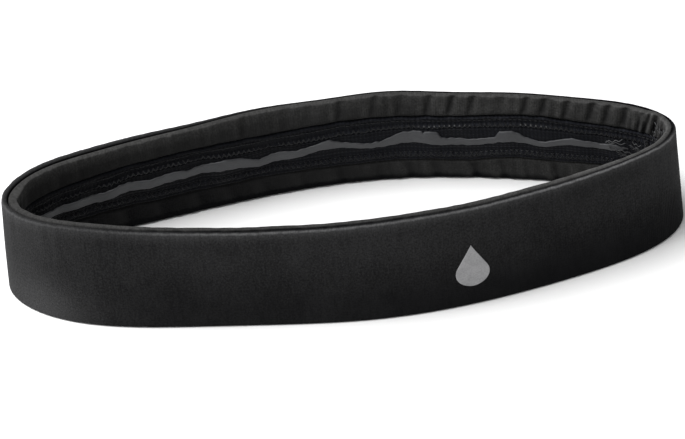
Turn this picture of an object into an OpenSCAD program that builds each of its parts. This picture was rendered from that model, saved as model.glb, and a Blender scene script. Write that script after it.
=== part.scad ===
// Sports headband: a soft closed loop standing on its lower edge.
// +Z is up, -Y is the emblem side, X runs along the long axis of the loop.
// The origin is at the centre of the footprint, on the resting plane.

/* [Band] */
// Height of the band from the resting plane to the upper edge
band_h = 42; // [41:1:50]
// Length of the loop across the outer face at the upper edge
rim_len = 239.6; // [220:0.2:250]
// Width of the loop across the outer face at the upper edge
rim_wid = 69.6; // [64:0.2:90]
// How far the lower edge stands out beyond the upper edge on every side
flare = 2.8; // [1:0.1:3.5]
// How far the upper edge dips between its high spots
rim_dip = 0.5; // [0:0.1:1]

/* [Fabric] */
// Thickness of the knit fabric
knit = 1.0; // [0.8:0.05:1.0]
// Thickness across one rolled edge
roll = 2.2; // [2.1:0.05:2.4]
// Gap of the groove between the outer roll and the facing roll
groove = 0.3; // [0.2:0.05:0.4]
// Depth of the allowance that is turned in behind each roll
turn_in = 6; // [5:0.5:7]

/* [Elastic] */
// Height of the elastic's lower edge above the resting plane
elastic_z = 10.8; // [10:0.2:11]
// Width of the elastic
elastic_w = 22; // [21.6:0.2:22.4]
// Thickness of the elastic
elastic_t = 1.3; // [1.1:0.05:1.4]
// How far each facing runs on behind the elastic
tuck = 7; // [6:0.5:8]
// Angle round the loop at which the elastic's ends meet
seam_at = 19; // [17:1:26]

/* [Gripper] */
// Height of the silicone's lower edge above the resting plane
grip_z = 18.6; // [18.2:0.2:18.8]
// Height of the silicone strip at its narrow places
grip_min = 2.8; // [2:0.2:3]
// Height of the silicone strip at its wide places
grip_max = 6.6; // [5:0.2:6.8]
// Thickness of the silicone on the elastic
grip_t = 0.5; // [0.4:0.05:0.7]
// Number of waves in the whole loop
grip_waves = 15; // [12:1:17]

/* [Stitching] */
// Thickness of the thread
thread_d = 0.5; // [0.45:0.05:0.6]
// Distance of each stitch row from the elastic's edge
row_in = 4; // [3:0.2:4]
// Height of the zigzag across each stitch row
row_w = 2.8; // [2:0.2:3]
// Number of zigzag points in each stitch row
row_points = 300; // [240:4:320]

/* [Emblem] */
// Position of the emblem along the front
emblem_x = 42; // [-60:1:60]
// Height of the emblem's centre above the resting plane
emblem_z = 18.5; // [16:0.5:24]
// Width of the emblem
emblem_w = 12; // [8:0.5:14]
// Height of the emblem
emblem_h = 18; // [12:0.5:20]
// Thickness of the emblem film
emblem_t = 0.3; // [0.2:0.05:0.5]

/* [Hidden] */
// Plan curve: how blunt the ends are, how the middle leans to one end, how full the sides are
end_blunt = 0.0127;
mid_lean = 0.0173;
side_full = 0.0129;
half_len = rim_len / 2;
half_wid = rim_wid / 2;

// Stations round the loop
panel_stations = 120;
facing_stations = 96;
seam_stations = 96;
grip_stations = 150;
dips = 7;

// Depths inwards from the outer face; pieces that touch sink into each other a little
sink = 0.05;
roll_r = roll / 2;
fold_r = roll_r - knit;
flat_half = 0.5;
heel = 0.3;
heel_z = 0.35;
facing_out = roll + groove;
facing_drop = 0.3;
facing_turn = 3.4;
facing_k = knit - 0.1;
facing_r = facing_k + fold_r;
facing_in = facing_out + 2 * facing_r;
elastic_in = facing_in + sink;
elastic_out = elastic_in - elastic_t;
elastic_top = elastic_z + elastic_w;
edge_round = 0.4;

// Where the facing leaves its roll and goes behind the elastic
slope_far = 2.4;
slope_near = 0.3;

// Threads
low_row_in = 3.4;
thread_r = thread_d / 2;
seam_drop = 2.6;
seam_wave = 0.35;
seam_waves = 24;

// The join of the elastic's ends
lap_half = 3.2;
lap_t = 0.7;
tack_turns = 6;
tack_half = 0.8;
grip_gap = 9;

// The silicone's section and how its waves are shaped
grip_root = 0.1;
grip_bevel = 0.6;
grip_nip = 0.1;
wave_power = 1.6;
fade_rate = 12;
thin_end = 0.3;

// The emblem's drop: a round lower end whose sides run straight to a small tip
emblem_cols = 6;
emblem_rows = 22;
drop_r = emblem_w / 2;
drop_low = drop_r - emblem_h / 2;
drop_lean = asin(drop_r / (emblem_h / 2 - drop_low));
least_half = 0.3;
film_root = 0.1;
find_steps = 24;

fabric_col = [0.17, 0.17, 0.18];
facing_col = [0.21, 0.20, 0.19];
elastic_col = [0.09, 0.09, 0.11];
silicone_col = [0.42, 0.43, 0.44];
thread_col = [0.30, 0.30, 0.31];
emblem_col = [0.62, 0.62, 0.63];

// Point, tangent and outward normal of the plan curve at angle t
function plan_x(t) = half_len * (
  (1 - end_blunt) * cos(t) + end_blunt * cos(3 * t) - mid_lean * (cos(2 * t) - 1)
);
function plan_y(t) = half_wid * ((1 - side_full) * sin(t) - side_full * sin(3 * t));
function slope_x(t) = half_len * (
  2 * mid_lean * sin(2 * t) - (1 - end_blunt) * sin(t) - 3 * end_blunt * sin(3 * t)
);
function slope_y(t) = half_wid * ((1 - side_full) * cos(t) - 3 * side_full * cos(3 * t));
function outward(t) = [slope_y(t), -slope_x(t)] / norm([slope_x(t), slope_y(t)]);

// Local height of the upper edge
function rim_z(t) = band_h - rim_dip * (1 - cos(dips * t)) / 2;

// Places a section point, q = [depth, height], at angle t
function place(t, q) = let (
  n = outward(t),
  off = flare * (1 - q[1] / band_h) - q[0]
) [plan_x(t) + n[0] * off, plan_y(t) + n[1] * off, q[1]];

// Angles that are evenly spaced along the curve
arc_steps = 720;
arc_piece = [for (i = [0:arc_steps]) norm([
  plan_x(i * 360 / arc_steps) - plan_x((i - 1) * 360 / arc_steps),
  plan_y(i * 360 / arc_steps) - plan_y((i - 1) * 360 / arc_steps)
])];
arc_sum = [for (i = 0, s = 0; i <= arc_steps; i = i + 1, s = s + (i <= arc_steps ? arc_piece[i] : 0)) s];
arc_table = [for (i = [0:arc_steps]) [arc_sum[i], i * 360 / arc_steps]];
function even_angle(share) = lookup(share * arc_sum[arc_steps], arc_table);

// A solid through rings of points; every ring has the same number of points
module skin(rings, closed) {
  m = len(rings[0]);
  n = len(rings);
  last = closed ? n - 1 : n - 2;
  walls = [
    for (i = [0:last])
      for (j = [0:m - 1])
        let (a = i * m + j, b = i * m + (j + 1) % m, c = ((i + 1) % n) * m)
          each [[a, c + j, b], [b, c + j, c + (j + 1) % m]]
  ];
  caps = closed ? [] : [[for (j = [0:m - 1]) j], [for (j = [m - 1:-1:0]) (n - 1) * m + j]];
  polyhedron(points = [for (r = rings) each r], faces = concat(walls, caps), convexity = 10);
}

// Sections, as [depth, height] going round clockwise
function arc_points(c, r, from, to, n) = [
  for (i = [0:n]) let (a = from + (to - from) * i / n) [c[0] + r * cos(a), c[1] + r * sin(a)]
];

function panel_section(h) = concat(
  arc_points([roll_r, h - roll_r], roll_r, 180, 0, 4),
  [
    [roll, h - turn_in],
    [roll - knit, h - turn_in],
    [roll - knit, h - roll_r],
    [roll_r, h - roll_r + fold_r],
    [knit, h - roll_r],
    [knit, roll_r],
    [roll_r, roll_r - fold_r],
    [roll - knit, roll_r],
    [roll - knit, turn_in],
    [roll, turn_in],
    [roll, roll_r],
    [roll - heel, heel_z],
    [roll_r + flat_half, 0],
    [roll_r - flat_half, 0],
    [heel, heel_z],
    [0, roll_r],
    [0, band_h / 2]
  ]
);

function facing_section(h, edge) = concat(
  [[facing_out, h - facing_turn], [facing_out, h - facing_r]],
  arc_points([facing_out + facing_r, h - facing_r], facing_r, 144, 36, 3),
  [
    [facing_in, h - facing_r],
    [facing_in, edge + slope_far],
    [elastic_out + sink, edge + slope_near],
    [elastic_out + sink, edge - tuck],
    [elastic_out + sink - facing_k, edge - tuck],
    [elastic_out + sink - facing_k, edge + slope_near],
    [facing_in - facing_k, edge + slope_far],
    [facing_in - facing_k, h - facing_r],
    [facing_out + facing_r, h - facing_r + fold_r],
    [facing_out + facing_k, h - facing_r],
    [facing_out + facing_k, h - facing_turn]
  ]
);

function mirrored(s) = [for (i = [len(s) - 1:-1:0]) [s[i][0], band_h - s[i][1]]];

elastic_section = [
  [elastic_out, elastic_z + edge_round],
  [elastic_out, elastic_top - edge_round],
  [elastic_out + edge_round, elastic_top],
  [elastic_in - edge_round, elastic_top],
  [elastic_in, elastic_top - edge_round],
  [elastic_in, elastic_z + edge_round],
  [elastic_in - edge_round, elastic_z],
  [elastic_out + edge_round, elastic_z]
];

function thread_section(d, z) = [
  [d - thread_r, z],
  [d, z + thread_r],
  [d + thread_r, z],
  [d, z - thread_r]
];

// Outer knit panel with both edges rolled inwards
module outer_panel() {
  color(fabric_col)
    skin([for (i = [0:panel_stations - 1]) let (t = i * 360 / panel_stations)
      [for (q = panel_section(rim_z(t))) place(t, q)]], true);
}

// Inner facing along the upper edge, running on behind the elastic
module upper_facing() {
  color(facing_col)
    skin([for (i = [0:facing_stations - 1]) let (t = i * 360 / facing_stations)
      [for (q = facing_section(rim_z(t) - facing_drop, elastic_top)) place(t, q)]], true);
}

// Inner facing along the lower edge
module lower_facing() {
  color(facing_col)
    skin([for (i = [0:facing_stations - 1]) let (t = i * 360 / facing_stations)
      [for (q = mirrored(facing_section(band_h - facing_drop, band_h - elastic_z))) place(t, q)]], true);
}

// Elastic band; its ends lap over each other at the back seam
module gripper_elastic() {
  color(elastic_col) {
    skin([for (i = [0:facing_stations - 1]) let (t = i * 360 / facing_stations)
      [for (q = elastic_section) place(t, q)]], true);
    elastic_lap();
  }
}

module elastic_lap() {
  steps = 4;
  low = elastic_z + edge_round;
  high = elastic_top - edge_round;
  skin([for (i = [0:steps]) let (t = seam_at + lap_half * (2 * i / steps - 1))
    [for (q = [
      [elastic_in - sink, low],
      [elastic_in - sink, high],
      [elastic_in + lap_t, high - edge_round],
      [elastic_in + lap_t, low + edge_round]
    ]) place(t, q)]], false);
}

// Wavy silicone strip on the inside of the elastic, open at the back seam
module silicone_gripper() {
  span = 360 - 2 * grip_gap;
  color(silicone_col)
    skin([for (i = [0:grip_stations]) let (
      share = i / grip_stations,
      t = even_angle_from(seam_at + grip_gap, span, share),
      wave = pow((1 - cos(360 * grip_waves * share)) / 2, wave_power),
      fade = min(1, fade_rate * share, fade_rate * (1 - share)),
      top = grip_z + grip_min + (grip_max - grip_min) * wave * fade,
      skin_d = elastic_in + grip_t * (thin_end + (1 - thin_end) * fade)
    ) [for (q = [
      [elastic_in - grip_root, grip_z],
      [elastic_in - grip_root, top],
      [skin_d - grip_nip, top - grip_nip],
      [skin_d, top - grip_bevel],
      [skin_d, grip_z + grip_bevel],
      [skin_d - grip_nip, grip_z + grip_nip]
    ]) place(t, q)]], false);
}

// Share of the curve at angle t, and the angle at a share of a span that starts at t
arc_inverse = [for (r = arc_table) [r[1], r[0] / arc_sum[arc_steps]]];
function share_at(t) = lookup(t % 360, arc_inverse);
function even_angle_from(t, span, share) = let (
  a = share_at(t),
  b = share_at(t + span) + (t + span >= 360 ? 1 : 0),
  s = a + (b - a) * share
) even_angle(s >= 1 ? s - 1 : s) + (s >= 1 ? 360 : 0);

// Seam thread that joins the outer roll and the facing roll
module edge_thread(z) {
  skin([for (i = [0:seam_stations - 1]) let (
    t = i * 360 / seam_stations,
    up = seam_wave * sin(seam_waves * t)
  ) [for (q = thread_section(roll + groove / 2, z + up)) place(t, q)]], true);
}

module upper_edge_seam() {
  color(thread_col) edge_thread(band_h - rim_dip - seam_drop);
}

module lower_edge_seam() {
  color(thread_col) edge_thread(seam_drop);
}

// Zigzag row of thread on the face of the elastic
module zigzag_row(z) {
  skin([for (i = [0:row_points - 1]) let (
    t = even_angle(i / row_points),
    lift = abs(t - seam_at) < lap_half ? lap_t : 0,
    up = (i % 2 == 0 ? 1 : -1) * row_w / 2
  ) [for (q = thread_section(elastic_in + lift + sink, z + up)) place(t, q)]], true);
}

module upper_coverstitch() {
  color(thread_col) zigzag_row(elastic_top - row_in);
}

module lower_coverstitch() {
  color(thread_col) zigzag_row(elastic_z + low_row_in);
}

// Zigzag tacking up the lap of the elastic
module back_seam_stitch() {
  low = elastic_z + row_in + row_w;
  high = elastic_top - row_in - row_w;
  swing = 180 / PI * tack_half / norm([slope_x(seam_at), slope_y(seam_at)]);
  half = 180 / PI * thread_r / norm([slope_x(seam_at), slope_y(seam_at)]);
  points = 2 * tack_turns;
  d = elastic_in + lap_t + sink;
  color(thread_col)
    skin([for (i = [0:points]) let (
      t = seam_at + swing * (i % 2 == 0 ? 1 : -1),
      z = low + (high - low) * i / points
    ) [
      place(t - half, [d - thread_r, z]),
      place(t + half, [d - thread_r, z]),
      place(t + half, [d + thread_r, z]),
      place(t - half, [d + thread_r, z])
    ]], false);
}

// Plain drop of film on the outer face, tip up
function find_angle(x, a, n) =
  n == 0 ? a : find_angle(x, a + (x - plan_x(a)) / slope_x(a), n - 1);
emblem_at = find_angle(emblem_x, -90, find_steps);
function round_half(v) = sqrt(max(0, pow(drop_r, 2) - pow(v - drop_low, 2)));
function side_half(v) = (emblem_h / 2 - v) * tan(drop_lean);
function drop_half(v) = v < drop_low + drop_r * sin(drop_lean) ? round_half(v) : side_half(v);

module front_emblem() {
  per_mm = 180 / PI / norm([slope_x(emblem_at), slope_y(emblem_at)]);
  color(emblem_col)
    skin([for (i = [0:emblem_rows]) let (
      v = -emblem_h / 2 * cos(180 * i / emblem_rows),
      reach = per_mm * max(least_half, drop_half(v)),
      turns = [for (j = [0:emblem_cols]) emblem_at + reach * (2 * j / emblem_cols - 1)]
    ) concat(
      [for (j = [0:emblem_cols]) place(turns[j], [-emblem_t, emblem_z + v])],
      [for (j = [emblem_cols:-1:0]) place(turns[j], [film_root, emblem_z + v])]
    )], false);
}

outer_panel();
upper_facing();
lower_facing();
gripper_elastic();
silicone_gripper();
upper_edge_seam();
lower_edge_seam();
upper_coverstitch();
lower_coverstitch();
back_seam_stitch();
front_emblem();
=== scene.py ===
import math

import bpy
import numpy as np
from mathutils import Matrix, Vector


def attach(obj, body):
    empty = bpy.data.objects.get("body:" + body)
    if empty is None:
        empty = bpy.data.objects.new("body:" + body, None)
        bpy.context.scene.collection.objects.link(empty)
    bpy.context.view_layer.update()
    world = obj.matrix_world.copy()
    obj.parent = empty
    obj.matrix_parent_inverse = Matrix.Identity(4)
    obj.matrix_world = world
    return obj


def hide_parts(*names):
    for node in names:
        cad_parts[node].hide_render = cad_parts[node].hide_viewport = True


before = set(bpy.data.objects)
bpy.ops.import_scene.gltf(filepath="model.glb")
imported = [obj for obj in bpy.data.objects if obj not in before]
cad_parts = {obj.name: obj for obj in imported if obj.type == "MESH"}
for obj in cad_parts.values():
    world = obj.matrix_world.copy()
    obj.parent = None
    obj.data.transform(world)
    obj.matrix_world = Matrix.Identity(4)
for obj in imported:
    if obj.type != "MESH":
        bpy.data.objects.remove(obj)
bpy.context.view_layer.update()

# ---------------------------------------------------------------- the band's shape, in millimetres
# Height of the wall, and half the loop's length and width at its upper edge
H = 42.0
HALF_LEN, HALF_WID = 119.8, 34.8
# How the loop's ends, middle and sides depart from a plain ellipse, as shares of those halves
END_BLUNT, MID_LEAN, SIDE_FULL = 0.0127, 0.0173, 0.0129
# How much further out the lower edge stands
FLARE = 2.8
# Depths are measured inwards from the outer face: the panel's knit, its rolled edges and their free ends
KNIT, ROLL, TURN_IN = 0.95, 1.95, 6.0
# The facings' outer and inner face, the thickness of their knit and the height of their fold
FACE_OUT, FACE_IN, FACE_KNIT, FACE_TOP = 2.5, 4.45, 0.9, H - 0.3
# The elastic's edges, its outer and inner face, and the two ridges between its stitch rows
ELASTIC_LOW, ELASTIC_TOP = 10.8, 32.8
ELASTIC_OUT, ELASTIC_IN = 3.3, 4.6
LOWER_RIDGE, UPPER_RIDGE = 13.7, 28.9
# Where the ends of the facings and the elastic are joined, round the loop from its right end
SEAM_AT = 12.4
# The loop's left end, as a share of the way round
LEFT_END = 0.5
# Points round the loop in the skins of the knit and the elastic
RING_POINTS = 1500
# How far the loop stands out from its oval, as waves round it: (cosine, sine) of 1, 2, 3... turns.
# These are a least-squares fit to the outline that is seen.
SWAY_MEAN = -0.1
SWAY = [(-0.222, -0.027), (-0.1, -0.252), (0.044, -0.301), (-0.019, -0.114), (0.584, 0.129), (-0.626, -0.247)]


def closed(v):
    return np.append(v, v[0])


def outwards(x, y):
    """The outward normals of a closed counter-clockwise line."""
    dx, dy = (np.roll(v, -1) - np.roll(v, 1) for v in (x, y))
    size = np.hypot(dx, dy)
    return dy / size, -dx / size


def loop_line(n=14400):
    """The outer face's upper edge: shares of the way round, points, outward normals and the whole length."""
    t = np.linspace(0, 2 * np.pi, n, endpoint=False)
    x = (1 - END_BLUNT) * np.cos(t) + END_BLUNT * np.cos(3 * t) - MID_LEAN * (np.cos(2 * t) - 1)
    y = (1 - SIDE_FULL) * np.sin(t) - SIDE_FULL * np.sin(3 * t)
    x, y = HALF_LEN * x, HALF_WID * y
    nx, ny = outwards(x, y)
    off = SWAY_MEAN
    for turns, (a, b) in enumerate(SWAY, start=1):
        off = off + a * np.cos(turns * t) + b * np.sin(turns * t)
    x, y = x + nx * off, y + ny * off
    nx, ny = outwards(x, y)
    step = np.hypot(np.roll(x, -1) - x, np.roll(y, -1) - y)
    along = np.concatenate([[0], np.cumsum(step)])
    return along / along[-1], closed(x), closed(y), closed(nx), closed(ny), along[-1]


SHARE, PX, PY, NX, NY, ROUND = loop_line()


def at(u):
    """The loop's point and outward normal at share u of the way round, from the right end by the back."""
    u = np.mod(u, 1.0)
    return [np.interp(u, SHARE, v) for v in (PX, PY, NX, NY)]


def front_share(x):
    """The share of the way round at which the front is at x."""
    u = np.linspace(0.5, 1, 4001)
    return float(u[np.argmin(abs(at(u)[0] - x))])


def mm_round(u):
    """Millimetres round the loop from the right end by the back."""
    return np.mod(u, 1.0) * ROUND


def before_end(mm):
    """The share of the way round that is mm short of the right end, on the front."""
    return 1 - mm / ROUND


# ---------------------------------------------------------------- curves
def waves(u, seed, low, high, count):
    """A smooth random curve round the loop, of about unit size, with low to high waves."""
    r = np.random.default_rng(seed)
    k, p, s = r.integers(low, high + 1, count), r.random(count) * 2 * np.pi, r.normal(size=count)
    return sum(s[i] * np.cos(2 * np.pi * k[i] * u + p[i]) for i in range(count)) / math.sqrt(count / 2)


def bump(x, centre, width):
    return np.exp(-(((x - centre) / width) ** 2))


def near(u, centre, width_mm):
    """1 at share centre, falling off over width_mm round the loop."""
    return bump((np.mod(u - centre + 0.5, 1.0) - 0.5) * ROUND, 0, width_mm)


def smooth(x, a, b):
    """0 at a and below, 1 at b and above, with an even turn between them."""
    t = np.clip((x - a) / (b - a), 0, 1)
    return t * t * (3 - 2 * t)


def around(u, points):
    """A smooth curve round the loop through (millimetres from the right end, value) points."""
    s, v = np.array(points, float).T
    x = mm_round(u)
    s = np.concatenate([s - ROUND, s, s + ROUND])
    v = np.tile(v, 3)
    k = np.clip(np.searchsorted(s, x) - 1, 0, len(s) - 2)
    w = s[k + 1] - s[k]
    t = (x - s[k]) / w
    slope = np.gradient(v, s)
    start = (2 * t**3 - 3 * t**2 + 1) * v[k] + (t**3 - 2 * t**2 + t) * slope[k] * w
    return start + (3 * t**2 - 2 * t**3) * v[k + 1] + (t**3 - t**2) * slope[k + 1] * w


# ---------------------------------------------------------------- how the wall, the edges and the rows wander
# How far each line is off its even height: (millimetres round, millimetres up)
RIM_LINE = [
    (0, 0.1), (120, 0), (180, 0.15), (205, 0.5), (230, 0.1), (262, 0.2), (280, 0.9), (298, 1.6), (316, 1.7),
    (334, 0.8), (352, -0.2), (370, 0.5), (388, 1.3), (406, 1.0), (424, 1.05), (442, 1.1), (460, 1.3),
    (478, 2.1), (496, 1.9), (510, 0.7),
]
TOP_EDGE = [
    (0, -0.3), (35, -0.4), (50, 0.7), (65, 0.8), (80, -0.1), (95, -0.3), (110, -0.9), (125, -0.3),
    (140, -0.9), (155, -1.8), (170, -1.1), (200, -1.4), (215, -2.2), (236, -3.1), (300, -1.5),
    (400, -0.3), (470, 0.0),
]
LOW_EDGE = [
    (0, 0.6), (35, 0.8), (50, 0.4), (65, 1.2), (80, -0.9), (95, -0.2), (110, -0.6), (125, -0.5), (160, 0.3),
    (200, 0.8), (240, 1.2), (320, 1.0), (420, 0.0), (480, 0.5),
]
UPPER_ROW = [
    (0, 0), (53, 0.0), (86, -0.3), (120, -1.4), (142, -2.2), (160, -2.2), (179, -0.8), (197, -0.6),
    (216, -2.4), (250, -1.5), (330, -0.6), (430, 0),
]


def sway_out(u, z):
    """Soft waves of the whole wall, outwards."""
    v = z / H
    slow = 0.28 * waves(u, 11, 3, 9, 7) * (0.4 + 0.6 * v)
    return slow + 0.16 * waves(u, 12, 8, 20, 9) * np.sin(np.pi * np.clip(v, 0, 1))


def belly(u, z):
    """How far the middle of the front's height stands out."""
    v = np.clip(z / H, 0, 1)
    front = np.clip(-np.sin(2 * np.pi * u), 0, 1)
    return front * np.sin(np.pi * v ** 1.15) * (0.8 + 0.3 * waves(u, 13, 2, 5, 4))


def rise(u):
    """How far the upper edge is off its even height."""
    return 0.18 * waves(u, 21, 4, 14, 8) - 0.15 + around(u, RIM_LINE)


def inner_z(u, z):
    """Moves the inner pieces up and down with the elastic's wavering edges and its upper stitch row."""
    z = z + around(u, UPPER_ROW) * smooth(z, 23, 27) * (1 - smooth(z, 29.5, 32.3))
    top = around(u, TOP_EDGE) * smooth(z, 22, 31) * (1 - smooth(z, 34, 40))
    return z + top + around(u, LOW_EDGE) * (1 - smooth(z, 14, 20)) * smooth(z, 2, 9)


def billow(u, z):
    """How far the elastic web swells inwards between its two edges."""
    height = np.clip((z - ELASTIC_LOW) / (ELASTIC_TOP - ELASTIC_LOW), 0, 1)
    return 0.35 * waves(u, 64, 14, 40, 14) * np.sin(np.pi * height)


def pressed(u):
    """How much the outer roll is pressed flat against the facing: 1 along the right of the back."""
    s = mm_round(u + 0.4) - 0.4 * ROUND
    return smooth(s, -8, 4) * (1 - smooth(s, 135, 215))


def place(u, d, z):
    """Points d inwards from the outer face at height z."""
    x, y, nx, ny = at(u)
    off = FLARE * (1 - z / H) - d + sway_out(u, z) + belly(u, z)
    up = z + rise(u) * smooth(z, 0.25 * H, H)
    return np.stack([x + nx * off, y + ny * off, up], axis=-1)


def far_shade(u, start, end, least, most):
    """How dark the inner side of the back lies, from the right end towards the left."""
    s = mm_round(u)
    back = smooth(s, 0, 12) * (1 - smooth(s, 245, 275))
    return -(least + (most - least) * smooth(s, start, end)) / 12 * back


# ---------------------------------------------------------------- meshes
def mesh_of(name, verts, faces, uvs, smooth_on=True):
    """A mesh object from points in millimetres and uvs in metres."""
    me = bpy.data.meshes.new(name)
    me.from_pydata((np.asarray(verts) * 0.001).tolist(), [], faces)
    layer = me.uv_layers.new(name="UVMap")
    layer.data.foreach_set("uv", np.asarray(uvs, np.float32).ravel())
    me.update()
    me.validate()
    if smooth_on:
        me.polygons.foreach_set("use_smooth", [True] * len(me.polygons))
    o = bpy.data.objects.new(name, me)
    bpy.context.scene.collection.objects.link(o)
    return o


def run_lengths(points):
    """The running length along a row of points, from 0 at the first."""
    return np.concatenate([[0], np.cumsum(np.linalg.norm(np.diff(points, axis=0), axis=1))])


def grid(name, p, ring=True, along=None, across=None):
    """A quad skin over p[i, j]: i goes round the loop, j round the closed section. UVs are in metres."""
    n, m = p.shape[:2]
    i, j = np.meshgrid(np.arange(n if ring else n - 1), np.arange(m), indexing="ij")
    i2, j2 = (i + 1) % n, (j + 1) % m
    faces = np.stack([i * m + j, i2 * m + j, i2 * m + j2, i * m + j2], axis=-1).reshape(-1, 4).tolist()
    if along is None:
        along = np.linspace(0, ROUND, n + 1)
    if across is None:
        across = run_lengths(np.concatenate([p[0], p[0, :1]]))
    a, b, c, d = along[i], along[i + 1], across[j], across[j + 1]
    corners = [np.stack(pair, -1) for pair in ((a, c), (b, c), (b, d), (a, d))]
    uv = np.stack(corners, axis=2).reshape(-1, 2) * 0.001
    if not ring:
        faces.append(list(range(m)))
        faces.append(list(range((n - 1) * m + m - 1, (n - 1) * m - 1, -1)))
        uv = np.concatenate([uv, np.zeros((2 * m, 2))])
    return mesh_of(name, p.reshape(-1, 3), faces, uv)


def arc(cx, cz, r, a0, a1, n):
    a = np.radians(np.linspace(a0, a1, n))
    return np.stack([cx + r * np.cos(a), cz + r * np.sin(a)], axis=-1)


def line(a, b, n, ends=(True, True)):
    """n points from a to b, with or without each end."""
    t = np.linspace(0, 1, n)
    t = t[(0 if ends[0] else 1): (n if ends[1] else n - 1)]
    return np.array(a) + t[:, None] * (np.array(b) - np.array(a))


def carried_round(sec):
    """A (depth, height) section at every point round the loop: shares, depths and heights."""
    U = (np.arange(RING_POINTS) / RING_POINTS)[:, None]
    return U, sec[None, :, 0] + 0 * U, sec[None, :, 1] + 0 * U


def section_lengths(sec):
    """The running length round a closed section, back to its first point."""
    return run_lengths(np.concatenate([sec, sec[:1]]))


def painted_light(o, values):
    """How much light and shade is painted into each point's colour: 0 is even, above is paler (a painted
    highlight, and on threads also their paler colour), below is painted shade.
    """
    a = o.data.attributes.new("painted_light", "FLOAT", "POINT")
    a.data.foreach_set("value", np.asarray(values, np.float32).ravel())


# ---------------------------------------------------------------- materials
def grey(v):
    return (v, v, v)


class Nodes:
    """A new material with one principled shader, and short names for the nodes that feed it."""

    def __init__(self, name):
        self.material = bpy.data.materials.new(name)
        self.material.use_nodes = True
        self.tree = self.material.node_tree
        self.tree.nodes.clear()
        out = self.new("ShaderNodeOutputMaterial")
        self.shader = self.new("ShaderNodeBsdfPrincipled")
        self.link(self.shader.outputs[0], out.inputs["Surface"])

    def new(self, kind, **values):
        n = self.tree.nodes.new(kind)
        for k, v in values.items():
            setattr(n, k, v)
        return n

    def link(self, a, b):
        self.tree.links.new(a, b)

    def surface(self, name, value):
        """Sets or links one of the shader's inputs."""
        if isinstance(value, (int, float, tuple)):
            self.shader.inputs[name].default_value = value
        else:
            self.link(value, self.shader.inputs[name])

    def scaled(self, sx, sy, coord="UV"):
        tc = self.new("ShaderNodeTexCoord")
        mp = self.new("ShaderNodeMapping")
        mp.inputs["Scale"].default_value = (sx, sy, 1 if coord == "UV" else sx)
        self.link(tc.outputs[coord], mp.inputs["Vector"])
        return mp.outputs["Vector"]

    def noise(self, sx, sy, detail, rough=0.5, coord="UV"):
        """Noise with sx and sy cells to the metre."""
        n = self.new("ShaderNodeTexNoise")
        n.inputs["Scale"].default_value = 1.0
        n.inputs["Detail"].default_value = detail
        n.inputs["Roughness"].default_value = rough
        self.link(self.scaled(sx, sy, coord), n.inputs["Vector"])
        return n.outputs["Fac"]

    def wave(self, scale, direction, distortion, dscale):
        """Bands across the cloth, scaled on its millimetres."""
        n = self.new("ShaderNodeTexWave", wave_type="BANDS", bands_direction=direction)
        n.inputs["Scale"].default_value = scale
        n.inputs["Distortion"].default_value = distortion
        n.inputs["Detail"].default_value = 1.0
        n.inputs["Detail Scale"].default_value = dscale
        self.link(self.scaled(1000, 1000), n.inputs["Vector"])
        return n.outputs["Fac"]

    def math(self, op, a, b, clamp=False):
        n = self.new("ShaderNodeMath", operation=op, use_clamp=clamp)
        for k, v in enumerate((a, b)):
            if isinstance(v, (int, float)):
                n.inputs[k].default_value = v
            else:
                self.link(v, n.inputs[k])
        return n.outputs[0]

    def weighted(self, *parts):
        """The sum of (value, weight) parts."""
        total = 0.0
        for value, weight in parts:
            total = self.math("ADD", total, self.math("MULTIPLY", value, weight))
        return total

    def ramp(self, fac, *stops):
        n = self.new("ShaderNodeValToRGB")
        for e, (p, c) in zip(n.color_ramp.elements, stops):
            e.position, e.color = p, (*c, 1)
        self.link(fac, n.inputs[0])
        return n.outputs[0]

    def mix(self, fac, a, b):
        n = self.new("ShaderNodeMix", data_type="RGBA", blend_type="MIX")
        ins = [s for s in n.inputs if s.enabled]
        for s, v in zip(ins, (fac, a, b)):
            if isinstance(v, tuple):
                s.default_value = (*v, 1)
            else:
                self.link(v, s)
        return next(s for s in n.outputs if s.enabled)

    def mesh_painted_light(self):
        # the light and shade painted into the mesh, read from its attribute
        worn = self.new("ShaderNodeAttribute")
        worn.attribute_name = "painted_light"
        return worn.outputs["Fac"]

    def with_painted_light(self, colour, painted_highlight, grain, deep=(0.0012, 0.0013, 0.0018)):
        """The colour moved by the mesh's painted light: towards the painted highlight colour where it is
        above 0, towards the deep painted shade colour below.
        """
        speckle = self.math("ADD", self.math("MULTIPLY", grain, 2.2), -0.1)
        amount = self.math("MULTIPLY", self.mesh_painted_light(), speckle)
        lit = self.mix(self.math("MAXIMUM", amount, 0.0), colour, painted_highlight)
        depth = self.math("MULTIPLY", self.math("MINIMUM", amount, 0.0), -12.0, clamp=True)
        return self.mix(depth, lit, deep)

    def bump(self, height, strength, distance, normal=None):
        n = self.new("ShaderNodeBump")
        n.inputs["Strength"].default_value = strength
        n.inputs["Distance"].default_value = distance
        self.link(height, n.inputs["Height"])
        if normal is not None:
            self.link(normal, n.inputs["Normal"])
        return n.outputs[0]


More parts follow.
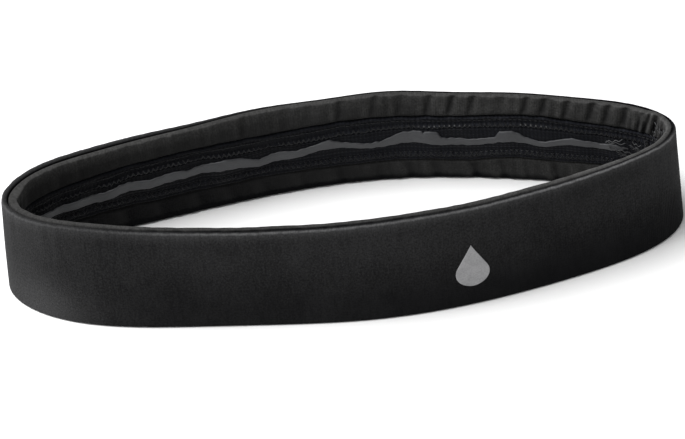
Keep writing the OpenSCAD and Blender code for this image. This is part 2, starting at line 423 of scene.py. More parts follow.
def knit_material(name, dark, light, painted_highlight, sheen, streak):
    """Fine jersey: wales and courses in the bump, streaks, patches and fibre specks in the colour, and the
    mesh's painted highlight and painted shade mixed into it.
    """
    k = Nodes(name)
    wales = k.wave(0.36, "X", 0.6, 0.8)
    courses = k.wave(0.30, "Y", 0.8, 0.9)
    streaks = k.noise(700, 160, 3.0, 0.6)
    patches = k.noise(60, 45, 3.0, 0.55)
    fibre = k.noise(1500, 1150, 4.0, 0.85)
    total = k.weighted((streaks, streak), (patches, 0.14), (fibre, 0.75 - streak))
    colour = k.ramp(total, (0.38, dark), (0.62, light))
    weave = k.bump(k.weighted((wales, 0.6), (courses, 0.4)), 0.45, 0.00014)
    fuzz = k.bump(fibre, 0.5, 0.00016, weave)
    k.surface("Base Color", k.with_painted_light(colour, painted_highlight, fibre))
    k.surface("Normal", k.bump(streaks, 0.2, 0.0002, fuzz))
    k.surface("Roughness", k.ramp(fibre, (0.3, grey(0.82)), (0.7, grey(0.97))))
    k.surface("Sheen Weight", sheen)
    k.surface("Sheen Roughness", 0.3)
    k.surface("Sheen Tint", (0.85, 0.86, 0.88, 1))
    k.surface("Specular IOR Level", 0.06)
    return k.material


def elastic_material():
    """Woven elastic: ribs across the band and rows along it."""
    k = Nodes("elastic_knit")
    ribs = k.wave(0.22, "X", 0.5, 0.6)
    rows = k.wave(0.20, "Y", 0.4, 0.8)
    patches = k.noise(90, 90, 3.0, 0.6)
    fibre = k.noise(1800, 1800, 2.0, 0.7)
    total = k.weighted((patches, 0.5), (ribs, 0.3), (fibre, 0.3))
    colour = k.ramp(total, (0.3, (0.0023, 0.0025, 0.0036)), (0.85, (0.0082, 0.0090, 0.0124)))
    weave = k.bump(k.math("MULTIPLY", ribs, rows), 0.6, 0.0003)
    # the pale and the deep colour given here are the web's painted highlight and painted shade
    k.surface("Base Color", k.with_painted_light(colour, (0.075, 0.079, 0.09), fibre, (0.0006, 0.0007, 0.0011)))
    k.surface("Normal", k.bump(fibre, 0.3, 0.00015, weave))
    k.surface("Roughness", k.ramp(patches, (0.3, grey(0.62)), (0.7, grey(0.85))))
    k.surface("Sheen Weight", 0.03)
    k.surface("Sheen Roughness", 0.4)
    k.surface("Specular IOR Level", 0.08)
    return k.material


def silicone_material():
    """Grey silicone with a cloudy, slightly uneven skin."""
    k = Nodes("silicone")
    big = k.noise(140, 140, 3.0, 0.6)
    fine = k.noise(900, 900, 2.0, 0.6)
    total = k.weighted((big, 0.7), (fine, 0.3))
    k.surface("Base Color", k.ramp(total, (0.3, (0.027, 0.0277, 0.0303)), (0.75, (0.059, 0.0604, 0.0643))))
    k.surface("Normal", k.bump(total, 0.25, 0.0004))
    k.surface("Roughness", k.ramp(big, (0.3, grey(0.38)), (0.7, grey(0.58))))
    k.surface("Specular IOR Level", 0.25)
    return k.material


def thread_material():
    """Twisted sewing thread, pale where its painted light is above 0: the thread's paler colour and painted
    glints.
    """
    k = Nodes("thread")
    twist = k.wave(0.9, "DIAGONAL", 0.5, 1.0)
    lint = k.noise(500, 500, 2.0, 0.6)
    total = k.weighted((twist, 0.5), (lint, 0.5))
    plain = k.ramp(total, (0.25, (0.0012, 0.0013, 0.0018)), (0.8, (0.0045, 0.0049, 0.0064)))
    amount = k.math("MULTIPLY", k.mesh_painted_light(), k.math("ADD", lint, 0.5), clamp=True)
    k.surface("Base Color", k.mix(amount, plain, (0.15, 0.152, 0.155)))
    k.surface("Normal", k.bump(twist, 0.4, 0.0001))
    k.surface("Roughness", k.ramp(lint, (0.3, grey(0.45)), (0.7, grey(0.65))))
    k.surface("Sheen Weight", 0.05)
    k.surface("Specular IOR Level", 0.15)
    return k.material


def film_material():
    """Pale printed film with fine specks."""
    k = Nodes("emblem_film")
    speck = k.noise(1500, 1500, 2.0, 0.7)
    cloud = k.noise(250, 250, 3.0, 0.6)
    total = k.weighted((speck, 0.5), (cloud, 0.5))
    k.surface("Base Color", k.ramp(total, (0.3, (0.135, 0.135, 0.139)), (0.7, (0.265, 0.265, 0.269))))
    k.surface("Normal", k.bump(speck, 0.35, 0.0001))
    k.surface("Roughness", k.ramp(cloud, (0.3, grey(0.5)), (0.7, grey(0.7))))
    return k.material


def floor_material():
    k = Nodes("floor")
    cloud = k.noise(30, 30, 2.0, coord="Object")
    k.surface("Base Color", k.ramp(cloud, (0.3, grey(0.65)), (0.7, grey(0.662))))
    k.surface("Roughness", 0.9)
    k.surface("Specular IOR Level", 0.0)
    return k.material


# the third colour of each knit is the colour of its painted highlight
outer_mat = knit_material(
    "outer_knit", dark=(0.0030, 0.0030, 0.0032), light=(0.0235, 0.0235, 0.0240),
    painted_highlight=(0.125, 0.125, 0.127), sheen=0.035, streak=0.14,
)
facing_mat = knit_material(
    "facing_knit", dark=(0.014, 0.0139, 0.0136), light=(0.046, 0.0457, 0.0451),
    painted_highlight=(0.10, 0.099, 0.098), sheen=0.05, streak=0.15,
)
elastic_mat = elastic_material()
silicone_mat = silicone_material()
thread_mat = thread_material()
film_mat = film_material()


# ---------------------------------------------------------------- the outer panel
def panel_section():
    """Up the outer face, over the upper roll, down the inside of the knit and round the lower roll."""
    r = ROLL / 2
    fold = r - KNIT
    return np.concatenate([
        line((0, r), (0, H - r), 44, (True, False)),
        arc(r, H - r, r, 180, 0, 13),
        line((ROLL, H - r), (ROLL, H - TURN_IN), 8, (False, True)),
        line((ROLL - KNIT, H - TURN_IN), (ROLL - KNIT, H - r), 6, (True, True)),
        arc(r, H - r, fold, 0, 180, 5)[1:],
        line((KNIT, H - r), (KNIT, r), 14, (False, True)),
        arc(r, r, fold, 180, 360, 5)[1:],
        line((ROLL - KNIT, r), (ROLL - KNIT, TURN_IN), 6, (False, True)),
        line((ROLL, TURN_IN), (ROLL, r), 6, (True, False)),
        arc(r, r, r, 0, -180, 11)[:-1],
    ])


def panel_painted_light(U, D, Z):
    """Where light and shade are painted into the panel's yarn, by its place in the even section."""
    s = mm_round(U)
    outer = 1 - smooth(D, 0.3, 0.8)
    front = smooth(s, 290, 350) * (1 - smooth(s, 508, 518))
    # painted highlight along the upper roll, where light catches its edge: strong on the front, most at its
    # right, and faint on the back
    shoulder = smooth(Z, H - 0.8, H - 0.1) * (1 - smooth(D, 0.42, 0.85))
    run = (0.34 + 0.42 * near(U, before_end(35), 45) + 0.06 * waves(U, 35, 40, 160, 20)) * front
    crown = 0.16 * smooth(Z, H - 1.2, H - 0.3) * near(U, 0.37, 95) * (1 - front)
    # painted light on the roll's outer side and on the gathers below it, fading downwards
    calm = 1 - 0.8 * near(U, 0.54, 45)
    gathers = 0.030 + 0.02 * near(U, LEFT_END, 70) + 0.012 * waves(U, 36, 150, 320, 20)
    under = 0.075 * calm * smooth(Z, H - 2.6, H - 0.9) + 0.02 * smooth(Z, H - 5.0, H - 2.0)
    under = under + gathers * smooth(Z, H - 6, H - 0.8)
    # soft light at the left and the right bend
    left = 0.10 * near(U, LEFT_END, 22) * (0.6 + 0.4 * smooth(Z, 4, 34))
    left = left + 0.19 * near(U, 0.535, 16) * (1.1 - smooth(Z, 2, 26))
    right = 0.06 * near(U, 0.985, 20) * smooth(Z, 8, 36) + 0.05 * bump(Z, 23, 6) * near(U, 0.993, 5)
    # painted light on the front's upper half, and painted shade that darkens it towards the floor
    fall = 0.040 * bump(Z, 34, 11) * near(U, 0.79, 150)
    fall = fall - 0.020 * (1 - smooth(Z, 6, 31)) * smooth(np.mod(U, 1.0), 0.56, 0.61)
    fall = fall - 0.036 * (1 - smooth(Z, 4, 22)) * near(U, 0.89, 75)
    # painted shade in the groove beside the facing, and on the roll after the left bend
    groove = -0.11 * (1 - 0.8 * near(U, 0.53, 40)) * smooth(D, 0.95, 1.35) * smooth(Z, H - 4, H - 1.5)
    dim = -0.025 * smooth(Z, H - 2.2, H - 0.4) * near(U, 0.553, 30)
    total = 0.68 * shoulder * run + crown + (under + left + right + fall) * outer + groove + dim
    return np.clip(total, -0.1, 1)


def panel_piece():
    sec = panel_section()
    U, D, Z = carried_round(sec)
    # light and shade painted into the panel's colour
    light_and_shade = panel_painted_light(U, D, Z)
    # fine gathers run down from both rolled edges on the outer face
    face = 1 - smooth(D, 0.6, 1.4)
    rim = smooth(Z, H - 9, H - 1.5) + 0.6 * (1 - smooth(Z, 1.0, 7.0))
    fine = waves(U, 31, 180, 330, 30) * (0.6 + 0.6 * near(U, LEFT_END, 45))
    broad = waves(U + 0.0006 * np.sin(Z / 7), 32, 40, 110, 26) * smooth(Z, H - 26, H - 3)
    D = D - face * (0.02 * rim * fine + 0.05 * broad)
    D = D * (1 - 0.66 * pressed(U) * smooth(Z, H - 9, H - 3))
    o = grid("outer_panel_knit", place(U + 0 * D, D, Z), across=section_lengths(sec))
    painted_light(o, light_and_shade)
    return o


panel = panel_piece()
panel.data.materials.append(outer_mat)
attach(panel, "root")
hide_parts("outer_panel")

# ---------------------------------------------------------------- facings
# The puckers by the join, in each facing: (millimetres round, depth, width)
UPPER_PUCKERS = [
    (9, 1.0, 1.2), (15.5, 0.9, 1.1), (22.1, 1.0, 1.6), (28.7, 0.7, 1.3), (34.7, 1.0, 1.6), (43.5, 0.6, 1.4),
    (51.9, 1.0, 1.6), (58.4, 0.8, 1.4), (67.5, 0.45, 2.0), (78.0, 0.9, 1.5), (85.6, 1.1, 1.4),
    (93.7, 0.7, 1.6), (103.9, 0.4, 2.0), (113.8, 0.65, 1.6), (125.9, 0.5, 2.0), (138.9, 0.3, 2.0),
]
LOWER_PUCKERS = [
    (28, 0.5, 2.2), (38, 0.5, 2.0), (47.9, 0.7, 2.2), (58, 0.3, 2.4), (67.8, 0.6, 2.2), (78.1, 0.9, 2.4),
    (92.5, 0.7, 2.6), (102.1, 0.6, 2.4), (114, 0.3, 2.6), (128, 0.35, 2.6),
]


def facing_section(edge):
    """The upper facing: a fold at the top, and a tongue that goes down behind the elastic from edge."""
    r = (FACE_IN - FACE_OUT) / 2
    fold = r - FACE_KNIT
    back = ELASTIC_OUT + 0.05
    outer_leg, inner_leg, tongue = FACE_OUT + FACE_KNIT, FACE_IN - FACE_KNIT, back - FACE_KNIT
    hem, bend = FACE_TOP - 4, FACE_TOP - r
    return np.concatenate([
        line((FACE_OUT, hem), (FACE_OUT, bend), 5, (True, False)),
        arc(FACE_OUT + r, bend, r, 180, 0, 13),
        line((FACE_IN, bend), (FACE_IN, edge + 1.0), 16, (False, True)),
        line((FACE_IN, edge + 1.0), (back, edge), 5, (False, True)),
        line((back, edge), (back, edge - 6), 5, (False, True)),
        line((tongue, edge - 6), (tongue, edge + 0.4), 5, (True, True)),
        line((tongue, edge + 0.4), (inner_leg, edge + 1.8), 4, (False, True)),
        line((inner_leg, edge + 1.8), (inner_leg, bend), 7, (False, True)),
        arc(FACE_OUT + r, bend, fold, 0, 180, 5)[1:],
        line((outer_leg, bend), (outer_leg, hem), 4, (False, True)),
    ])


def facing_puckers(upper):
    """The listed puckers of one facing, and random ones further round."""
    r = np.random.default_rng(41 if upper else 51)
    if upper:
        back = [(150 + 11.5 * i + r.normal() * 2.5, 0.16 + 0.1 * r.random(), 2.6) for i in range(10)]
        front = [(268 + 9.2 * i + r.normal() * 2.0, 0.35 + 0.5 * r.random(), 1.7) for i in range(27)]
        return UPPER_PUCKERS + back + front
    rest = [(142 + 13 * i + r.normal() * 2.5, 0.15 + 0.2 * r.random(), 3.0) for i in range(28)]
    return LOWER_PUCKERS + rest


def facing_painted_light(U, D, up, face, body, valley, upper):
    """Where light and shade are painted into a facing's yarn, by its place in the even section."""
    # painted light on the fuller cloth beside each pucker and on the join's pleats, and painted shade in the
    # pucker
    hollow = np.clip(valley, 0, 1)
    beside = np.clip(np.roll(valley, RING_POINTS // 260, axis=0) - valley, 0, 1)
    folds = (0.10 * beside - 0.03 * hollow) * body + 0.04 * join_pleats(U)
    # painted shade in the groove: on the side by the outer panel in the upper facing, and on the opposite
    # side in the lower one
    leg = D if upper else D[:, ::-1]
    groove = -0.08 * (1 - 0.8 * near(U, 0.53, 40)) * smooth(up, FACE_TOP - 4, FACE_TOP - 1)
    groove = groove * (1 - smooth(leg, FACE_OUT + 0.15, FACE_OUT + 0.55))
    # the lower facing has painted shade along the inner side of the back, deepest towards the left
    if not upper:
        return np.clip(folds + far_shade(U, 40, 200, 0.04, 0.76) * face + groove, -1, 1)
    # painted highlight on the crest of the roll, most at the right of the front and least in its middle
    right = before_end(38)
    crest = 0.45 * smooth(up, FACE_TOP - 4.5, FACE_TOP - 1.5)
    crest = crest + 0.55 * smooth(up, FACE_TOP - 1.6, FACE_TOP - 0.6)
    crest = crest * (1 - 0.5 * smooth(up, FACE_TOP - 0.4, FACE_TOP) * (1 - near(U, right, 42)))
    crest = crest * (0.5 + 0.5 * face) * (1 - 0.55 * hollow)
    middle = near(U, before_end(155), 95)
    painted_highlight = (0.19 + 0.05 * waves(U, 44, 90, 260, 24) + 0.62 * near(U, right, 44)) * (1 - middle)
    painted_highlight = (painted_highlight + 0.03 * middle) * crest
    # the inner side of the back lies in shade, less of it on the right
    s = mm_round(U)
    low = (1 - smooth(up, 36.0, 41.0)) * (1 - 0.75 * bump(s, 76, 18) - 0.3 * bump(s, 40, 12))
    dark = far_shade(U, 120, 215, 0.33, 0.36) * low + far_shade(U, 140, 235, 0.0, 0.05)
    dark = dark + 0.008 * bump(s, 76, 16) + 0.006 * bump(s, 30, 18)
    return np.clip(painted_highlight + folds + dark * face + groove, -1, 1)


def join_pleats(U):
    """Small pleats where the facing's own ends are joined."""
    return waves(U, 45, 90, 240, 26) * near(U, 9 / ROUND, 9)


def facing_piece(name, upper):
    edge = ELASTIC_TOP if upper else H - ELASTIC_LOW
    sec = facing_section(edge)
    if not upper:
        # the lower facing is the same section upside down
        sec = np.stack([sec[::-1, 0], H - sec[::-1, 1]], axis=-1)
    U, D, Z = carried_round(sec)
    up = Z if upper else H - Z
    face = smooth(D, FACE_IN - 0.9, FACE_IN - 0.1)
    body = smooth(up, edge + 0.2, edge + 2.4) * (1 - smooth(up, FACE_TOP - 1.5, FACE_TOP + 0.3))
    full = smooth(up, edge + 0.2, edge + 1.8) * (1 - 0.75 * smooth(up, FACE_TOP - 2.6, FACE_TOP))
    # soft puckers of the visible inner face: valleys that lean a little, with fuller cloth between them
    leaning = mm_round(U) + (0.26 * (Z - 38) if upper else -0.18 * (Z - 6))
    valley = 0 * D
    for centre, deep, wide in facing_puckers(upper):
        gap = np.mod(leaning - centre + ROUND / 2, ROUND) - ROUND / 2
        valley = valley + deep * bump(gap, 0, wide)
    # light and shade painted into the facing's colour
    light_and_shade = facing_painted_light(U, D, up, face, body, valley, upper)
    size = 1.15 if upper else 0.85
    D = D + face * (0.4 * full + body * (0.10 * waves(U, 43, 60, 150, 24) - size * valley))
    # the layers part at the left bend
    D = D + (0.8 * near(U, LEFT_END, 14) + 1.1 * near(U, 0.487, 4.5)) * smooth(up, 26, FACE_TOP) * face
    # the join of the facing's own ends: pleats, and a fold line with cloth heaped on one side
    heap = 0.8 * bump(leaning, SEAM_AT, 0.7) - 0.5 * bump(leaning, 15.0, 1.6)
    D = D + face * (0.22 * join_pleats(U) - heap * smooth(up, edge, edge + 2))
    if upper:
        D = D - 1.55 * pressed(U) * smooth(Z, H - 8, H - 2.5)
    Z = inner_z(U + 0 * Z, Z)
    if upper:
        # the fold sinks behind the outer edge at the right of the front, and stands up along the back
        sink = 0.9 * near(U, before_end(20), 22) + 0.25 * near(U, 0.03, 14)
        Z = Z - (sink - 0.8 * pressed(U) - 0.9 * near(U, 8.5 / ROUND, 3.5)) * smooth(Z, 30, H)
    o = grid(name, place(U + 0 * D, D, Z), across=section_lengths(sec))
    painted_light(o, light_and_shade)
    return o


for name, upper, node, flat in (
    ("upper_facing_knit", True, "upper_facing", (0.020, 0.553)),
    ("lower_facing_knit", False, "lower_facing", (0.0215, 0.526)),
):
    o = facing_piece(name, upper)
    o.data.materials.append(facing_mat)
    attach(o, "root")
    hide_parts(node)

# ---------------------------------------------------------------- elastic
# Where the stitches press the web in: (height, depth)
STITCH_DENTS = ((31.4, 0.25), (30.2, 0.3), (27.6, 0.35), (25.6, 0.15), (16.6, 0.2), (15.0, 0.3), (12.4, 0.3))
RIBS_ROUND = 240


def elastic_piece():
    r = (ELASTIC_IN - ELASTIC_OUT) / 2
    core = (ELASTIC_IN + ELASTIC_OUT) / 2
    sec = np.concatenate([
        arc(core, ELASTIC_TOP - r, r, 180, 0, 9),
        line((ELASTIC_IN, ELASTIC_TOP - r), (ELASTIC_IN, ELASTIC_LOW + r), 50, (False, False)),
        arc(core, ELASTIC_LOW + r, r, 0, -180, 9),
        line((ELASTIC_OUT, ELASTIC_LOW + r), (ELASTIC_OUT, ELASTIC_TOP - r), 12, (False, False)),
    ])
    U, D, Z = carried_round(sec)
    face = smooth(D, core, ELASTIC_IN)
    rib = np.sin(2 * np.pi * RIBS_ROUND * U)
    # the ridges catch a little light, most at the right of the back
    ridges = 0.5 * bump(Z, UPPER_RIDGE, 0.8) + 0.45 * bump(Z, LOWER_RIDGE, 1.3)
    ridges = ridges + 0.35 * bump(Z, 32.2, 0.35) + 0.3 * bump(Z, 26.6, 0.25)
    lit = ridges * (0.25 + 0.22 * rib) * (0.12 + 0.75 * near(U, 0.15, 50))
    # painted light on the ridges, and painted shade on the inner side of the back
    light_and_shade = (lit + far_shade(U, 80, 190, 0.10, 0.55)) * face
    # dents along the stitches, ribbed ridges between them, and slow ripples
    lift = 0.28 * bump(Z, UPPER_RIDGE, 0.9) + 0.2 * bump(Z, LOWER_RIDGE, 0.9) + 0.15 * bump(Z, 32.2, 0.4)
    for row, deep in STITCH_DENTS:
        lift = lift - deep * bump(Z, row, 0.42)
    lift = lift - 0.13 * rib * (bump(Z, LOWER_RIDGE, 1.4) + 0.7 * bump(Z, UPPER_RIDGE, 1.2))
    lift = lift - 0.10 * waves(U, 61, 60, 130, 20) * bump(Z, 13.6, 2.2)
    lift = lift - 0.10 * waves(U, 62, 60, 130, 20) * bump(Z, 28.6, 2.2)
    D = D + face * (lift + billow(U, Z))
    edges = smooth(Z, 29, ELASTIC_TOP) + smooth(-Z, -14, -ELASTIC_LOW)
    Z = inner_z(U + 0 * Z, Z + 0.16 * waves(U, 63, 14, 50, 16) * edges)
    o = grid("gripper_elastic_web", place(U + 0 * D, D, Z), across=section_lengths(sec))
    painted_light(o, light_and_shade)
    return o


elastic = elastic_piece()
elastic.data.materials.append(elastic_mat)
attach(elastic, "root")
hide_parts("gripper_elastic")

# ---------------------------------------------------------------- silicone grip strip
# The strip's lower and upper edge along the stretch that is seen, worked out from points on its outline:
# (millimetres round, low, high)
GRIP = [
    (20.5, 21.2, 24.0), (26.8, 20.3, 23.6), (31.4, 20.0, 22.6), (41.8, 20.9, 24.5), (51.8, 18.9, 21.5),
    (55.5, 19.1, 21.7), (59.1, 19.7, 23.0), (61.6, 19.9, 24.9), (63.7, 20.3, 26.1), (68.5, 20.1, 25.7),
    (70.0, 19.6, 22.7), (75.6, 18.3, 21.4), (79.3, 18.0, 21.2), (89.6, 18.2, 22.1), (90.9, 18.4, 25.4),
    (97.5, 19.6, 25.8), (104.9, 18.8, 24.4), (108.7, 18.0, 22.1), (112.4, 17.7, 20.5), (117.0, 18.1, 20.5),
    (127.1, 19.7, 22.5), (130.8, 19.9, 24.9), (134.6, 20.2, 23.8), (142.1, 18.3, 21.9), (149.5, 17.7, 22.0),
    (157.2, 16.6, 20.1), (164.5, 18.4, 23.4), (170.0, 19.3, 24.5), (180.0, 19.2, 23.0), (184.0, 19.2, 22.6),
    (187.0, 19.6, 23.9), (198.0, 18.6, 22.9), (209.0, 19.1, 23.6), (216.9, 17.3, 21.5), (232.6, 18.4, 22.0),
]
STRIP_START, SEEN_END = GRIP[0][0], GRIP[-1][0]
# The strip stops this far short of the right end, and further round its waves are this long
STRIP_GAP, STRIP_WAVE = 3.0, 33.0
# How high the strip stands on the web, and how deep its edges and its root go into it
STRIP_HIGH, STRIP_SUNK, STRIP_ROOT = 0.5, 0.12, 0.6
STRIP_POINTS = 2400


def softened(v):
    """A running mean of v over a few points."""
    k = max(1, STRIP_POINTS // 900)
    return np.convolve(np.pad(v, k, mode="edge"), np.ones(2 * k + 1) / (2 * k + 1), "valid")


def strip_edges(w, s):
    """The strip's lower and upper edge: the listed points, and further round waves of the same kind."""
    turns = (s - SEEN_END) / STRIP_WAVE
    lobe = turns - np.floor(turns)
    wave_low = 18.4 + 0.9 * np.sin(2 * np.pi * turns)
    wave_high = wave_low + 3.2 + 2.6 * smooth(lobe, 0.25, 0.4) * (1 - smooth(lobe, 0.75, 0.95))
    at_s, low, high = np.array(GRIP).T
    low = softened(np.where(s > SEEN_END, wave_low, np.interp(s, at_s, low)))
    high = softened(np.where(s > SEEN_END, wave_high, np.interp(s, at_s, high)))
    low = low + 0.10 * waves(w, 71, 60, 160, 16)
    # a narrow nick in the widest lobe
    high = high + 0.12 * waves(w, 72, 60, 200, 16) - 1.0 * bump(s, 96.2, 0.45)
    middle = (low + high) / 2
    taper = 0.15 + 0.85 * smooth(s, STRIP_START, 26)
    return middle + (low - middle) * taper, middle + (high - middle) * taper


def silicone_piece():
    w = np.linspace(0, 1, STRIP_POINTS)
    s = STRIP_START + w * (ROUND - STRIP_START - STRIP_GAP)
    low, high = strip_edges(w, s)
    fade = np.clip(np.minimum(w, 1 - w) * 60, 0, 1)
    # a flat-topped bead from the upper edge to the lower one, and a root inside the web
    sunk = ELASTIC_IN - STRIP_SUNK
    stand = STRIP_HIGH * (0.3 + 0.7 * fade) + STRIP_SUNK
    root = np.full(STRIP_POINTS, ELASTIC_IN - STRIP_ROOT)
    outline = []
    for t in np.linspace(1, 0, 17):
        dome = np.clip(4 * t * (1 - t) * 3.4, 0, 1) ** 0.5
        outline.append((sunk + stand * dome, low + (high - low) * t))
    outline += [(root, low + 0.1), (root, high - 0.1)]
    D = np.stack([d for d, z in outline], axis=1)
    Z = np.stack([z for d, z in outline], axis=1)
    U = (s / ROUND)[:, None] + 0 * D
    p = place(U, D + billow(U, Z), Z)
    return grid("silicone_grip_strip", p, ring=False, along=s, across=0.6 * np.arange(len(outline) + 1))


silicone = silicone_piece()
silicone.data.materials.append(silicone_mat)
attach(silicone, "root")
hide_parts("silicone_gripper")


# ---------------------------------------------------------------- threads
def tube_ring(path, radius, sides):
    """The points of one tube along a path, drawn in at both ends."""
    tan = np.gradient(path, axis=0)
    tan /= np.linalg.norm(tan, axis=1)[:, None]
    side = np.cross(tan, [0.0, 0.0, 1.0])
    weak = np.linalg.norm(side, axis=1) < 0.05
    side[weak] = np.cross(tan[weak], [1.0, 0.0, 0.0])
    side /= np.linalg.norm(side, axis=1)[:, None]
    other = np.cross(side, tan)
    r = np.full(len(path), radius)
    r[[0, -1]] *= 0.55
    a = np.linspace(0, 2 * np.pi, sides, endpoint=False)[None, :, None]
    return path[:, None] + r[:, None, None] * (np.cos(a) * side[:, None] + np.sin(a) * other[:, None])


def tubes(name, paths, radius, paleness_and_glints, sides=6, side_uv=0.2):
    """Many short closed tubes, one along each path, each with its own paleness and painted glints."""
    verts, faces, uvs, base = [], [], [], 0
    for path in paths:
        verts.append(tube_ring(path, radius, sides).reshape(-1, 3))
        along = run_lengths(path)
        for i in range(len(path) - 1):
            here, there = base + i * sides, base + (i + 1) * sides
            for j in range(sides):
                k = (j + 1) % sides
                faces.append([here + j, here + k, there + k, there + j])
                v, v2 = j * side_uv, (j + 1) * side_uv
                uvs += [(along[i], v), (along[i], v2), (along[i + 1], v2), (along[i + 1], v)]
        faces.append([base + j for j in range(sides)][::-1])
        faces.append([base + (len(path) - 1) * sides + j for j in range(sides)])
        uvs += [(0, 0)] * (2 * sides)
        base += len(path) * sides
    o = mesh_of(name, np.concatenate(verts), faces, np.array(uvs) * 0.001)
    painted_light(o, np.concatenate([np.full(len(v), t) for v, t in zip(verts, paleness_and_glints)]))
    return o


def on_web(u, d, z):
    """Points on the elastic web, which move with its billows and its rows."""
    u = u + 0 * d
    z = inner_z(u, z + 0 * u)
    return place(u, d + billow(u, z), z)


STITCH_PITCH, STITCH_RADIUS = 1.8, 0.15


def coverstitch(name, dots, chain, high, low, seed):
    """Needle dots on one line, a straight chain line, and the looper's zigzag between them."""
    count = int(ROUND * 0.97 / STITCH_PITCH)
    r = np.random.default_rng(seed)
    upper = name.startswith("upper")
    paths, paleness_and_glints = [], []
    t = np.linspace(0, 1, 5)
    over = np.sin(np.pi * t)
    du = 1 / count
    for k in range(count):
        u0 = k / count
        jitter = r.normal(size=6) * 0.06
        s = u0 * ROUND
        # painted glints on the stitches, at a few places round the loop
        painted_glint = max(bump(s, 87, 8.5), bump(s, 55, 6.5)) if upper else 0.10 * bump(s, 60, 30)
        # the thread's paler colour, with painted shade instead on the lower row along the left of the back
        plain = 0.04 if upper or s < 140 else 0.0
        # a little paleness on the loopers, with painted light near 190 mm round on the upper row and near 65
        # mm on the lower one
        looper = 0.02 + 0.06 * bump(s, 190, 50)
        if not upper:
            looper = 0.04 * bump(s, 65, 25) - 0.07 * smooth(s, 110, 160)
        # the lower row lies deeper in the web along the left of the back
        base = ELASTIC_IN - (0 if upper else 0.17 * smooth(s, 110, 160))
        paths.append(on_web(u0 + du * (0.2 + 0.6 * t), base - 0.10 + 0.36 * over, dots + jitter[0]))
        paleness_and_glints.append(plain + painted_glint * (0.9 + 0.7 * r.random()))
        if upper and painted_glint > 0.25:
            # two more strands make a thicker stitch
            for lift in (-0.22, 0.22):
                height = dots + jitter[0] + lift
                paths.append(on_web(u0 + du * (0.25 + 0.5 * t), base - 0.10 + 0.34 * over, height))
                paleness_and_glints.append(painted_glint * 1.2)
        straight = chain + jitter[1] + 0.1 * over
        rising = low + jitter[2] + (high - low) * t
        falling = high + jitter[3] - (high - low) * t
        paths.append(on_web(u0 + du * (0.05 + 0.9 * t), base - 0.25 + 0.34 * over, straight))
        paths.append(on_web(u0 + du * (0.08 + 0.42 * t), base + 0.12 + 0.15 * over, rising))
        paths.append(on_web(u0 + du * (0.50 + 0.42 * t), base + 0.10 + 0.15 * over, falling))
        paleness_and_glints += [(0.5 * plain) * (1 + 2 * r.random()), looper, looper]
    return tubes(name, paths, STITCH_RADIUS, paleness_and_glints)


for name, dots, chain, high, low, node, seed in (
    ("upper_coverstitch_thread", 29.0, 31.2, 29.9, 27.7, "upper_coverstitch", 5),
    ("lower_coverstitch_thread", 14.9, 12.4, 14.6, 12.9, "lower_coverstitch", 6),
):
    o = coverstitch(name, dots, chain, high, low, seed)
    o.data.materials.append(thread_mat)
    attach(o, "root")
    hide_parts(node)


def edge_thread(name, z, node, points=1200, sides=8, radius=0.16):
    """One thread round the whole loop between the panel's hem and a facing."""
    u = np.arange(points) / points
    a = np.linspace(0, 2 * np.pi, sides, endpoint=False)
    depth = (ROLL + FACE_OUT) / 2 + 0.05 * np.sin(2 * np.pi * 200 * u)
    height = z + 0.15 * np.sin(2 * np.pi * 100 * u)
    D = depth[:, None] + radius * np.cos(a)[None]
    Z = height[:, None] - radius * np.sin(a)[None]
    o = grid(name, place(u[:, None] + 0 * D, D, Z))
    painted_light(o, np.zeros(D.size))
    o.data.materials.append(thread_mat)
    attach(o, "root")
    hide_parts(node)


edge_thread("upper_edge_seam_thread", H - 3.0, "upper_edge_seam")
edge_thread("lower_edge_seam_thread", 3.0, "lower_edge_seam")


def seam_zigzag(points=60, half_wide=0.9):
    """The stitch that joins the ends, back and forth across the join."""
    t = np.linspace(0, 1, points)
    swing = np.where(np.arange(points) % 2 == 0, half_wide, -half_wide)
    return place((SEAM_AT + swing) / ROUND, ELASTIC_IN + 0.45 + 0 * t, 14 + 16 * t)


def loose_curl(r):
    """One of the zigzag's tangled loose ends, beside the join."""
    s = 12 + 14 * r.random()
    z = 19.5 + 7.5 * r.random()
    length = 3 + 5 * r.random()
    lean = r.normal() * 0.25
    q = np.linspace(0, 1, 22)
    curl = 0.45 * np.sin(2 * np.pi * (1.5 + 2 * r.random()) * q + 6 * r.random())
    deep = ELASTIC_IN + 0.75 + 0.35 * np.sin(np.pi * q)
    return place((s + (q - 0.5) * length) / ROUND, deep, z + curl + lean * (q - 0.5) * length)


def frayed_yarn(r):
    """One end of frayed knit where the facing's ends meet, up to the rim."""
    s = 12 * r.random() - 2
    z = 31 + 8.5 * r.random()
    length = 1.5 + 2.0 * r.random()
    turn = 0.5 + 0.8 * r.random()
    q = np.linspace(-0.5, 0.5, 12)
    deep = 4.3 - 0.05 * (z - 33) + 0.25 * np.cos(np.pi * q)
    up = z + math.sin(turn) * length * q + 0.15 * np.sin(9 * q)
    return place((s + math.cos(turn) * length * q) / ROUND, deep, up)


def back_stitch():
    r = np.random.default_rng(81)
    # the join's zigzag, its loose ends and the frayed yarn are pale, partly the fibres' paler colour and
    # partly painted glints
    paths, paleness_and_glints = [seam_zigzag()], [0.12]
    for strand, count, least, spread in ((loose_curl, 16, 0.08, 0.42), (frayed_yarn, 60, 0.10, 0.50)):
        for _ in range(count):
            paths.append(strand(r))
            paleness_and_glints.append(least + spread * r.random() ** 2)
    return tubes("back_seam_zigzag", paths, 0.14, paleness_and_glints)


o = back_stitch()
o.data.materials.append(thread_mat)
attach(o, "root")
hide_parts("back_seam_stitch")

# ---------------------------------------------------------------- emblem
EMBLEM_X, EMBLEM_Z = 42.0, 18.5
EMBLEM_WIDE, EMBLEM_HIGH, TIP_HALF = 12.0, 18.0, 0.12
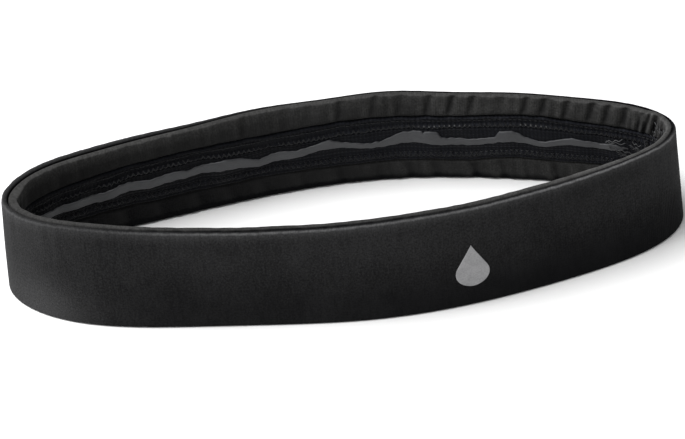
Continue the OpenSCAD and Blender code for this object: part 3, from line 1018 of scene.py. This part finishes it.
# How far the film stands out from the panel, how much thinner its rim is, and how deep its back goes
FILM_OUT, FILM_BEVEL, FILM_IN = 0.24, 0.10, 0.15
EMBLEM_ROWS, EMBLEM_COLS = 64, 36


def drop_half_width(v):
    """Half the width of a drop, tip up, at height v from its middle: a round belly and straight flanks."""
    r = EMBLEM_WIDE / 2
    belly_z = r - EMBLEM_HIGH / 2
    lean = math.asin(r / (EMBLEM_HIGH / 2 - belly_z))
    round_part = np.sqrt(np.maximum(0, r * r - (v - belly_z) ** 2))
    flank = (EMBLEM_HIGH / 2 - v) * math.tan(lean)
    return np.maximum(TIP_HALF, np.where(v < belly_z + r * math.sin(lean), round_part, flank))


def emblem_piece():
    """A plain drop of film."""
    rows, cols = EMBLEM_ROWS, EMBLEM_COLS
    v = -EMBLEM_HIGH / 2 * np.cos(np.pi * np.arange(rows) / (rows - 1))
    over = np.linspace(-1, 1, cols)[None, :]
    X = drop_half_width(v)[:, None] * over
    V = v[:, None] + 0 * X
    lift = FILM_OUT - FILM_BEVEL * smooth(np.abs(over) + 0 * X, 0.93, 1.0)
    u = front_share(EMBLEM_X) + X / ROUND
    face = place(u, -lift, EMBLEM_Z + V)
    back = place(u, FILM_IN + 0 * X, EMBLEM_Z + V)
    p = np.concatenate([face, back[:, ::-1]], axis=1)
    xs = np.concatenate([X, X[:, ::-1]], axis=1)
    m = 2 * cols
    faces, uvs = [], []
    for i in range(rows - 1):
        for j in range(m):
            k = (j + 1) % m
            faces.append([i * m + j, i * m + k, (i + 1) * m + k, (i + 1) * m + j])
            uvs += [(xs[i, j], v[i]), (xs[i, k], v[i]), (xs[i + 1, k], v[i + 1]), (xs[i + 1, j], v[i + 1])]
    for i, turned in ((0, True), (rows - 1, False)):
        for j in range(cols - 1):
            q = [i * m + j, i * m + j + 1, i * m + m - 2 - j, i * m + m - 1 - j]
            faces.append(q[::-1] if turned else q)
            uvs += [(0, 0)] * 4
    return mesh_of("front_emblem_film", p.reshape(-1, 3), faces, np.array(uvs) * 0.001, smooth_on=False)


emblem = emblem_piece()
emblem.data.materials.append(film_mat)
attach(emblem, "root")
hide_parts("front_emblem")

# ---------------------------------------------------------------- floor, light and camera, in metres
scene = bpy.context.scene
FLOOR_SIZE = 6
WORLD_LIGHT = 0.64
CAMERA_AT, LOOK_AT = Vector((-0.0219, -0.8333, 0.7918)), Vector((0.0003, 0.0155, 0.0))
CAMERA_ROLL = -5.346
SENSOR, LENS = 36, 168.17518


def aimed(start, end):
    """The turn that points a light or a camera from start to end."""
    return (Vector(end) - Vector(start)).to_track_quat("-Z", "Y")


def area(name, start, end, size, power):
    """A square soft light."""
    lamp = bpy.data.lights.new(name, "AREA")
    lamp.shape = "RECTANGLE"
    lamp.size = lamp.size_y = size
    lamp.energy = power
    o = bpy.data.objects.new(name, lamp)
    scene.collection.objects.link(o)
    o.location = start
    o.rotation_euler = aimed(start, end).to_euler()


def white_world(strength):
    world = bpy.data.worlds.new("studio")
    scene.world = world
    world.use_nodes = True
    background = world.node_tree.nodes["Background"]
    background.inputs["Color"].default_value = (1, 1, 1, 1)
    background.inputs["Strength"].default_value = strength


def camera():
    data = bpy.data.cameras.new("camera")
    cam = bpy.data.objects.new("camera", data)
    scene.collection.objects.link(cam)
    scene.camera = cam
    data.sensor_width = SENSOR
    data.lens = LENS
    look = aimed(CAMERA_AT, LOOK_AT).to_matrix().to_4x4()
    roll = Matrix.Rotation(math.radians(CAMERA_ROLL), 4, "Z")
    cam.matrix_world = Matrix.Translation(CAMERA_AT) @ look @ roll


bpy.ops.mesh.primitive_plane_add(size=FLOOR_SIZE, location=(0, 0, 0))
floor = bpy.context.object
floor.name = "floor"
floor.data.materials.append(floor_material())

white_world(WORLD_LIGHT)
area("key_soft", (-0.47, -0.01, 1.14), (0, 0, 0), 0.7, 27)
area("left_soft", (-1.0, -0.35, 0.35), (-0.08, 0, 0.02), 0.5, 2.5)
scene.view_settings.view_transform = "Standard"
camera()
